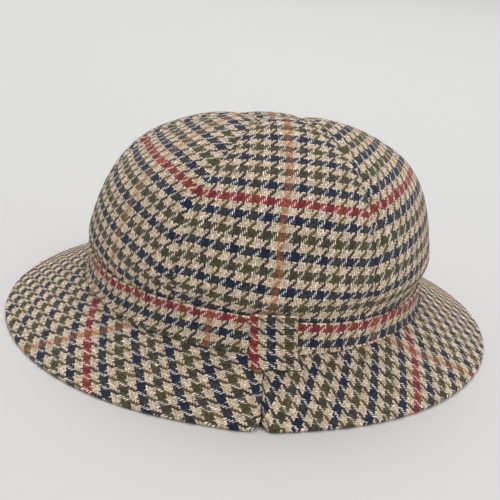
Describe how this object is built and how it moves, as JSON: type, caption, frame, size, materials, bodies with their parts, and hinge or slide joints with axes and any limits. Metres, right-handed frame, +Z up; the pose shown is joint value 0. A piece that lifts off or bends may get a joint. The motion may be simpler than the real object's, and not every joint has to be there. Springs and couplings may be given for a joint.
{
  "type": "tweed walking hat",
  "caption": "Soft tweed walking hat: a domed crown sewn from gussets, a cloth band with a keeper tab, and a brim that slopes down all the way round, open below for a head.",
  "frame": {"origin": "centre of the box around the hat, on the ground under the rim of the brim", "axes": "+Z up through the crown, +Y towards the front of the hat, so the seam and tab at the back face -Y"},
  "size_m": [0.2619, 0.2774, 0.1195],
  "materials": {
    "crown_tweed": "woven wool tweed in cream, navy, olive, red and rust houndstooth",
    "brim_tweed": "the same wool tweed, turned a quarter",
    "band_tweed": "the same wool tweed, cut as a folded strip"
  },
  "bodies": {
    "root": {"crown_panel_back": "crown_tweed", "crown_panel_back_right": "crown_tweed", "crown_panel_front_right": "crown_tweed", "crown_panel_front": "crown_tweed", "crown_panel_front_left": "crown_tweed", "crown_panel_back_left": "crown_tweed", "brim_right": "brim_tweed", "brim_left": "brim_tweed", "band": "band_tweed", "band_tab": "band_tweed"}
  },
  "joints": []
}
